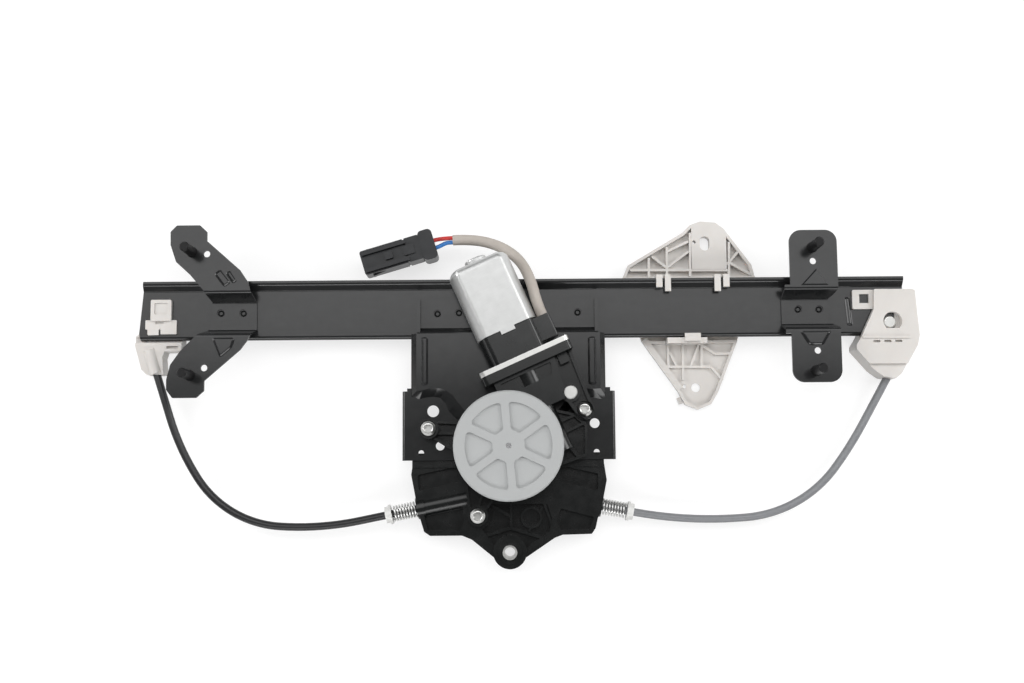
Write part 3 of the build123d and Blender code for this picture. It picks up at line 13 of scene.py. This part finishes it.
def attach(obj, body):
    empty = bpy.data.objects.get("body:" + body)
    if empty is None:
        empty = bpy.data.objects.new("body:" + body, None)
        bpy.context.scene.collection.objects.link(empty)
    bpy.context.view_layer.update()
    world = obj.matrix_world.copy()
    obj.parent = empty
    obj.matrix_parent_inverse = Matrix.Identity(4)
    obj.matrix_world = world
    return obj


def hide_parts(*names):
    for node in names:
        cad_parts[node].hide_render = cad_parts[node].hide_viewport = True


MM = 0.001
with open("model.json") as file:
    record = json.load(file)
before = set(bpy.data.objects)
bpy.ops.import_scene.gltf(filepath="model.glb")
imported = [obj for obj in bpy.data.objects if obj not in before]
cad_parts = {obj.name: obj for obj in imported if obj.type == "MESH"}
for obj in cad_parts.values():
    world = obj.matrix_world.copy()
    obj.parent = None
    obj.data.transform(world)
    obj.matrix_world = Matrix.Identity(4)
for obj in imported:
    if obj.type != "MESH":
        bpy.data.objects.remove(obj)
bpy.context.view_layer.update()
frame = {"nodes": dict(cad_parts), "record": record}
nodes = frame["nodes"]

# ---- camera: looks down on the regulator, a little from the motor's side -----------------------
LOOK_AT = Vector((5.7, -17.2, -13.5)) * MM
CAMERA_DISTANCE = 0.8
CAMERA_ELEVATION = radians(83.5)
CAMERA_ROLL = radians(-0.44)
CAMERA_LENS = 45.36       # mm, on a 36 mm wide frame

away = Vector((0, -cos(CAMERA_ELEVATION), sin(CAMERA_ELEVATION)))
camera = bpy.data.objects.new("camera", bpy.data.cameras.new("camera"))
camera.data.lens = CAMERA_LENS
camera.data.sensor_width = 36
camera.data.clip_start = 0.05
upright = away.to_track_quat("Z", "Y").to_matrix().to_4x4()
camera.matrix_world = (Matrix.Translation(LOOK_AT + away * CAMERA_DISTANCE) @ upright
                       @ Matrix.Rotation(CAMERA_ROLL, 4, "Z"))
bpy.context.scene.collection.objects.link(camera)
bpy.context.scene.camera = camera
bpy.context.scene.view_settings.view_transform = "Standard"


# ---- finishes ----------------------------------------------------------------------------------
class Finish:
    """A node-based material whose patterns are laid out in the row's own metres."""

    def __init__(self, name, colour, roughness, metallic=0.0, specular=0.5):
        self.material = bpy.data.materials.new(name)
        self.material.use_nodes = True
        self.nodes = self.material.node_tree.nodes
        self.links = self.material.node_tree.links
        self.shader = self.nodes["Principled BSDF"]
        self.shader.inputs["Base Color"].default_value = (*colour, 1)
        self.shader.inputs["Roughness"].default_value = roughness
        self.shader.inputs["Metallic"].default_value = metallic
        self.shader.inputs["Specular IOR Level"].default_value = specular
        self.place = self.nodes.new("ShaderNodeTexCoord").outputs["Object"]

    def stretched(self, turn, scale):
        """The row's coordinates, turned about Z and then scaled along each axis."""
        mapping = self.nodes.new("ShaderNodeMapping")
        mapping.vector_type = "TEXTURE"
        mapping.inputs["Rotation"].default_value = (0, 0, radians(turn))
        mapping.inputs["Scale"].default_value = [1 / s for s in scale]
        self.links.new(self.place, mapping.inputs["Vector"])
        return mapping.outputs["Vector"]

    def noise(self, grain, detail=3.0, vector=None):
        """Soft noise whose grains are about this many metres wide."""
        texture = self.nodes.new("ShaderNodeTexNoise")
        texture.inputs["Scale"].default_value = 1 / grain
        texture.inputs["Detail"].default_value = detail
        self.links.new(vector or self.place, texture.inputs["Vector"])
        return texture.outputs["Fac"]

    def spread(self, value, low, high):
        """Maps the middle of a noise's range on to two values."""
        node = self.nodes.new("ShaderNodeMapRange")
        for socket, number in (("From Min", 0.3), ("From Max", 0.7),
                               ("To Min", low), ("To Max", high)):
            node.inputs[socket].default_value = number
        self.links.new(value, node.inputs["Value"])
        return node.outputs["Result"]

    def blend(self, value, one, other):
        """Colour between two others."""
        node = self.nodes.new("ShaderNodeMix")
        node.data_type = "RGBA"
        node.inputs["A"].default_value = (*one, 1)
        node.inputs["B"].default_value = (*other, 1)
        self.links.new(value, node.inputs["Factor"])
        return node.outputs["Result"]

    def colour(self, socket):
        self.links.new(socket, self.shader.inputs["Base Color"])

    def roughness(self, socket):
        self.links.new(socket, self.shader.inputs["Roughness"])

    def bump(self, height, depth, strength=1.0):
        """Relief of a height that runs from 0 to 1, this many metres deep."""
        node = self.nodes.new("ShaderNodeBump")
        node.inputs["Distance"].default_value = depth
        node.inputs["Strength"].default_value = strength
        self.links.new(height, node.inputs["Height"])
        self.links.new(node.outputs["Normal"], self.shader.inputs["Normal"])


def coated_steel(name):
    """Black dip coating on pressed steel: semi-gloss, faintly mottled, with fine scuffs."""
    finish = Finish(name, (0.02, 0.02, 0.021), 0.15)
    mottle = finish.noise(7 * MM, 4)
    scuffs = finish.noise(1.4 * MM, 2, finish.stretched(8, (0.12, 1, 1)))
    finish.colour(finish.blend(mottle, (0.012, 0.0125, 0.013), (0.020, 0.0205, 0.021)))
    finish.roughness(finish.spread(scuffs, 0.15, 0.185))
    finish.bump(finish.noise(5 * MM, 2), 0.01 * MM, 0.4)
    return finish.material


def plated_steel(name, colour, roughness, turn=0.0, streak=0.06):
    """Zinc-plated steel with fine drawing lines."""
    finish = Finish(name, colour, roughness, metallic=1.0)
    lines = finish.noise(0.35 * MM, 2, finish.stretched(turn, (1, streak, 1)))
    cloud = finish.noise(5 * MM, 3)
    darker = [channel * 0.86 for channel in colour]
    finish.colour(finish.blend(cloud, darker, colour))
    finish.roughness(finish.spread(lines, roughness - 0.05, roughness + 0.08))
    finish.bump(lines, 0.006 * MM, 0.5)
    return finish.material


def moulded(name, colour, roughness, mottled=0.12, grain=0.3 * MM, depth=0.0015 * MM, shine=0.5):
    """Injection-moulded plastic with a fine spark-eroded grain and soft flow marks."""
    finish = Finish(name, colour, roughness, specular=shine)
    flow = finish.noise(9 * MM, 3, finish.stretched(30, (0.5, 1, 1)))
    finish.colour(finish.blend(flow, [c * (1 - mottled) for c in colour], colour))
    finish.roughness(finish.spread(finish.noise(6 * MM, 3), roughness - 0.04, roughness + 0.04))
    finish.bump(finish.noise(grain, 2), depth, 0.7)
    return finish.material


def natural_plastic(name):
    """Unfilled acetal: milky, a little light passes through its thin walls."""
    finish = Finish(name, (0.68, 0.655, 0.63), 0.42)
    flow = finish.noise(12 * MM, 4, finish.stretched(60, (0.4, 1, 1)))
    finish.colour(finish.blend(flow, (0.62, 0.59, 0.56), (0.71, 0.69, 0.665)))
    finish.shader.inputs["Subsurface Weight"].default_value = 0.4
    finish.shader.inputs["Subsurface Scale"].default_value = 1.5 * MM
    finish.shader.inputs["Subsurface Radius"].default_value = (1.0, 0.9, 0.8)
    finish.roughness(finish.spread(finish.noise(2 * MM, 3), 0.36, 0.5))
    finish.bump(finish.noise(0.6 * MM, 2), 0.012 * MM, 0.6)
    return finish.material


def extruded(name, colour, roughness):
    """Smooth extruded conduit with faint die lines and dust."""
    finish = Finish(name, colour, roughness)
    dust = finish.noise(3 * MM, 4)
    finish.colour(finish.blend(dust, colour, [c * 1.25 + 0.004 for c in colour]))
    finish.roughness(finish.spread(dust, roughness - 0.04, roughness + 0.08))
    finish.bump(finish.noise(1.2 * MM, 2), 0.02 * MM, 0.4)
    return finish.material


def woven_sleeve(name):
    """Matt sleeve over the wires, with a fine braid."""
    finish = Finish(name, (0.50, 0.455, 0.41), 0.7)
    finish.colour(finish.blend(finish.noise(4 * MM, 3), (0.46, 0.42, 0.375), (0.54, 0.49, 0.445)))
    finish.bump(finish.noise(0.45 * MM, 1), 0.02 * MM, 0.5)
    return finish.material


FINISHES = {
    "black_steel": coated_steel("black_steel"),
    "stud_black": moulded("stud_black", (0.006, 0.006, 0.0065), 0.5, shine=0.3),
    "zinc_steel": plated_steel("zinc_steel", (0.74, 0.74, 0.72), 0.34, 10),
    "motor_steel": plated_steel("motor_steel", (0.67, 0.675, 0.67), 0.46, -66),
    "black_plastic": moulded("black_plastic", (0.006, 0.0068, 0.0068), 0.24, shine=0.5),
    "connector_black": moulded("connector_black", (0.012, 0.013, 0.015), 0.36, shine=0.4),
    "grey_plastic": moulded("grey_plastic", (0.44, 0.45, 0.45), 0.5, 0.06, shine=0.3),
    "natural_plastic": natural_plastic("natural_plastic"),
    "ferrule_white": moulded("ferrule_white", (0.80, 0.80, 0.78), 0.35, 0.05),
    "conduit_black": extruded("conduit_black", (0.013, 0.013, 0.014), 0.32),
    "conduit_grey": extruded("conduit_grey", (0.20, 0.205, 0.215), 0.36),
    "spring_steel": plated_steel("spring_steel", (0.74, 0.74, 0.73), 0.34),
    "cable_steel": plated_steel("cable_steel", (0.50, 0.50, 0.50), 0.35),
    "nipple_zinc": plated_steel("nipple_zinc", (0.60, 0.61, 0.62), 0.4),
    "shaft_steel": plated_steel("shaft_steel", (0.60, 0.60, 0.61), 0.25),
    "core_steel": plated_steel("core_steel", (0.22, 0.22, 0.23), 0.45),
    "ferrite": moulded("ferrite", (0.06, 0.06, 0.065), 0.6),
    "sintered_bronze": plated_steel("sintered_bronze", (0.55, 0.40, 0.22), 0.5),
    "copper": plated_steel("copper", (0.72, 0.38, 0.22), 0.3),
    "sheath_grey": woven_sleeve("sheath_grey"),
    "wire_red": extruded("wire_red", (0.60, 0.035, 0.03), 0.38),
    "wire_blue": extruded("wire_blue", (0.04, 0.20, 0.56), 0.38),
    "insert_red": moulded("insert_red", (0.55, 0.05, 0.05), 0.45),
    "pin_tin": plated_steel("pin_tin", (0.72, 0.72, 0.70), 0.3),
}

for part in frame["record"]["subparts"]:
    for material_slot in nodes[part["node"]].material_slots:
        material_slot.material = FINISHES[part["material_slot"]]

# ---- motor lead: a sleeve from the brush collar to the two wires --------------------------------
SHEATH_R = 3.3 * MM
SHEATH_ROUTE = [(26.1, -9.1, 10.1), (20.9, 2.6, 10.1), (17.5, 17.5, 8.6), (11.0, 31.5, 2.4),
                (-1.5, 41.8, -6.0), (-18.0, 47.1, -11.9), (-30.7, 46.6, -12.3)]


def lead(name, route, radius):
    """Round lead along a given route in millimetres."""
    curve = bpy.data.curves.new(name, "CURVE")
    curve.dimensions = "3D"
    curve.bevel_depth = radius
    curve.bevel_resolution = 6
    curve.resolution_u = 16
    curve.use_fill_caps = True
    spline = curve.splines.new("NURBS")
    spline.points.add(len(route) - 1)
    for point, spot in zip(spline.points, route):
        point.co = (*(Vector(spot) * MM), 1)
    spline.order_u = 3
    spline.use_endpoint_u = True
    rope = bpy.data.objects.new(name, curve)
    bpy.context.scene.collection.objects.link(rope)
    return rope


sheath = lead("motor_lead", SHEATH_ROUTE, SHEATH_R)
sheath.data.materials.append(FINISHES["sheath_grey"])
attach(sheath, "frame")
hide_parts("wire_sheath")


# ---- small forms pressed and moulded on the CAD pieces, laid out in millimetres -----------------
LEFT_STUDS, RIGHT_STUDS = -190.5, 190.5      # X of the two pairs of door studs
RAIL_RIGHT = 248.8                           # X of the rail's right end
PAD_Z, SEAT_Z, WEB_Z, PLATEAU_Z = 0.0, -12.0, -13.5, -6.5
SUNK = 0.4              # how far a bead's skin reaches into its sheet
BEAD_RISE = 0.8
BEAD_CORNER = 2.0       # corner radius of a bead at its foot


def neighbours(outline):
    """Each corner of a closed outline with the corners before and after it."""
    return zip(outline[-1:] + outline[:-1], outline, outline[1:] + outline[:1])


def anticlockwise(outline):
    """The outline, turned round if it runs clockwise."""
    area = sum(here[0] * after[1] - after[0] * here[1] for _, here, after in neighbours(outline))
    return outline if area > 0 else outline[::-1]


def shrunk(outline, amount):
    """Anticlockwise plan outline moved inwards by an amount."""
    corners = []
    for before, here, after in neighbours(outline):
        spot = Vector(here)
        sides = [(spot - Vector(before)).normalized(), (Vector(after) - spot).normalized()]
        across = [Vector((-side.y, side.x)) for side in sides]
        mitre = (across[0] + across[1]).normalized()
        corners.append(spot + mitre * (amount / mitre.dot(across[0])))
    return corners


def eased(outline, radius, steps=5):
    """Plan outline with its corners rounded by about a radius."""
    points = []
    for before, here, after in neighbours(outline):
        spot, back, on = Vector(here), Vector(before), Vector(after)
        reach = min(radius, 0.4 * (back - spot).length, 0.4 * (on - spot).length)
        start = spot + (back - spot).normalized() * reach
        end = spot + (on - spot).normalized() * reach
        for step in range(steps + 1):
            t = step / steps
            points.append(tuple(start * (1 - t) ** 2 + spot * 2 * t * (1 - t) + end * t ** 2))
    return points


def fixed(name, points, faces, slot):
    """Piece of the frame from points in millimetres."""
    mesh = bpy.data.meshes.new(name)
    mesh.from_pydata([Vector(point) * MM for point in points], [], faces)
    mesh.materials.append(FINISHES[slot])
    piece = bpy.data.objects.new(name, mesh)
    bpy.context.scene.collection.objects.link(piece)
    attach(piece, "frame")


def stacked(name, rings, slot):
    """Closed skin up through rings of points, capped at both ends."""
    count = len(rings[0])
    faces = [[level * count + i, level * count + (i + 1) % count,
              (level + 1) * count + (i + 1) % count, (level + 1) * count + i]
             for level in range(len(rings) - 1) for i in range(count)]
    faces.append([(len(rings) - 1) * count + i for i in range(count)])
    faces.append([count - 1 - i for i in range(count)])
    fixed(name, [point for points in rings for point in points], faces, slot)


def bead(name, outline, level, origin_x=0.0, slope=1.5):
    """Bead pressed up out of a sheet: a low swelling on a plan outline, its sides this wide."""
    foot = anticlockwise([(x + origin_x, y) for x, y in outline])
    profile = [(0.0, -SUNK), (0.0, 0.04), (slope * 0.3, BEAD_RISE * 0.25),
               (slope * 0.7, BEAD_RISE * 0.85), (slope, BEAD_RISE)]
    stacked(name, [[(*spot, level + height)
                    for spot in eased(shrunk(foot, inset), max(BEAD_CORNER - inset, 0.5))]
                   for inset, height in profile], "black_steel")


def collar(name, centre, level, profile, slot, sides=48):
    """Ring turned from a closed profile of radius and height."""
    count = len(profile)
    points = [(centre[0] + radius * cos(2 * pi * i / sides),
               centre[1] + radius * sin(2 * pi * i / sides), level + height)
              for i in range(sides) for radius, height in profile]
    faces = [[i * count + j, i * count + (j + 1) % count,
              (i + 1) % sides * count + (j + 1) % count, (i + 1) % sides * count + j]
             for i in range(sides) for j in range(count)]
    fixed(name, points, faces, slot)


BEADS = [
    ("left_bracket_bead_0", [(13.6, 24.4), (17.8, 27.4), (24.4, 19.0), (20.2, 15.8)],
     PAD_Z, LEFT_STUDS),
    ("left_bracket_bead_1", [(20.6, 25.0), (23.8, 26.6), (28.2, 20.0), (25.4, 18.0)],
     PAD_Z, LEFT_STUDS),
    ("left_bracket_bead_2", [(13.0, -15.0), (27.6, -15.0), (25.6, -21.4), (18.2, -27.6)],
     PAD_Z, LEFT_STUDS),
    ("right_bracket_bead", [(-9.5, -13.4), (10.5, -13.4), (5.0, -22.5), (-4.0, -22.5)],
     PAD_Z, RIGHT_STUDS, 1.8),
    ("rail_bead", [(-36.6, 9.0), (-33.0, 9.0), (-31.4, -9.0), (-35.0, -9.0)],
     WEB_Z, RAIL_RIGHT),
    ("plate_bead_0", [(-50.2, -14.8), (-45.9, -14.8), (-45.9, -44.6), (-50.2, -44.6)], PLATEAU_Z),
    ("plate_bead_1", [(52.2, -15.2), (57.4, -15.2), (57.4, -45.0), (52.2, -45.0)], PLATEAU_Z),
]
for form in BEADS:
    bead(*form)

DIMPLE_FLOOR = SEAT_Z - 0.6
CLINCH_RING = [(1.0, -0.3), (1.0, 0.3), (1.5, 0.9), (2.0, 0.3), (2.0, -0.3)]
CLINCH_SPOTS = [(LEFT_STUDS + 15.8, 1.5), (LEFT_STUDS + 29.7, 1.4), (RIGHT_STUDS - 7.2, 1.3),
                (RIGHT_STUDS + 5.8, 1.2), (-40.4, 0.2), (-27.1, 0.7), (46.5, 0.5)]
for number, spot in enumerate(CLINCH_SPOTS):
    collar(f"clinch_{number}", spot, DIMPLE_FLOOR, CLINCH_RING, "black_steel")

HEAD_RING = [(2.5, -0.3), (2.5, 0.9), (2.8, 1.1), (3.1, 1.0), (3.9, 0.1), (3.9, -0.3)]
SCREW_HEADS = [(-45.1, -71.5, 5.0), (49.1, -60.7, 7.0), (-15.6, -124.0, 3.0)]
for number, (x, y, head_top) in enumerate(SCREW_HEADS):
    collar(f"screw_collar_{number}", (x, y), head_top, HEAD_RING, "zinc_steel")

# shelves that close the slit between the motor plate's wings and the drum housing
SHELF_FRONT, SHELF_BACK = -95.0, -86.0
for side, x_low, x_high in (("left", -56.0, -29.0), ("right", 35.0, 61.5)):
    shelf = [(x_low, SHELF_FRONT), (x_high, SHELF_FRONT),
             (x_high, SHELF_BACK), (x_low, SHELF_BACK)]
    stacked(f"housing_shelf_{side}",
            [[(*spot, level) for spot in shrunk(shelf, inset)]
             for inset, level in ((0.0, -15.0), (0.0, -12.3), (0.3, -12.0))], "black_plastic")

# ---- floor and light ---------------------------------------------------------------------------
FLOOR_Z = -27.5 * MM
FLOOR_REACH = 4.0         # metres from the middle to each edge
PAPER_GLOW = 0.70         # added where a camera, mirror or glass sees the floor directly
floor_mesh = bpy.data.meshes.new("floor")
floor_mesh.from_pydata([(x * FLOOR_REACH, y * FLOOR_REACH, FLOOR_Z)
                        for x, y in ((-1, -1), (1, -1), (1, 1), (-1, 1))], [], [(0, 1, 2, 3)])
floor = bpy.data.objects.new("floor", floor_mesh)
bpy.context.scene.collection.objects.link(floor)
paper = Finish("paper", (0.36, 0.36, 0.36), 0.9, specular=0.1)
glow = paper.nodes.new("ShaderNodeEmission")
rays = paper.nodes.new("ShaderNodeLightPath")
total = paper.nodes.new("ShaderNodeAddShader")
seen = rays.outputs["Is Camera Ray"]
for kind in ("Is Glossy Ray", "Is Transmission Ray"):
    either = paper.nodes.new("ShaderNodeMath")
    either.operation = "MAXIMUM"
    paper.links.new(seen, either.inputs[0])
    paper.links.new(rays.outputs[kind], either.inputs[1])
    seen = either.outputs["Value"]
paper.links.new(seen, glow.inputs["Strength"])
glow.inputs["Color"].default_value = (PAPER_GLOW, PAPER_GLOW, PAPER_GLOW, 1)
paper.links.new(paper.shader.outputs["BSDF"], total.inputs[0])
paper.links.new(glow.outputs["Emission"], total.inputs[1])
paper.links.new(total.outputs["Shader"], paper.nodes["Material Output"].inputs["Surface"])
floor_mesh.materials.append(paper.material)


def softbox(name, place, aim, width, height, power):
    """Rectangular lamp that faces a point."""
    lamp = bpy.data.lights.new(name, "AREA")
    lamp.shape = "RECTANGLE"
    lamp.size, lamp.size_y, lamp.energy = width, height, power
    box = bpy.data.objects.new(name, lamp)
    facing = (Vector(place) - aim).to_track_quat("Z", "Y").to_matrix().to_4x4()
    box.matrix_world = Matrix.Translation(place) @ facing
    bpy.context.scene.collection.objects.link(box)


softbox("overhead", (0.0, 0.61, 1.5), LOOK_AT, 1.7, 1.04, 11)
softbox("left", (-1.1, 0.35, 0.6), LOOK_AT, 0.8, 0.7, 9)
softbox("right", (1.1, 0.35, 0.6), LOOK_AT, 0.8, 0.7, 9)
softbox("front", (0.0, -1.0, 0.6), LOOK_AT, 1.4, 0.4, 7)

world = bpy.data.worlds.new("studio")
world.use_nodes = True
sky = world.node_tree.nodes["Background"]
sky.inputs["Color"].default_value = (1, 1, 1, 1)
sky.inputs["Strength"].default_value = 0.16
bpy.context.scene.world = world
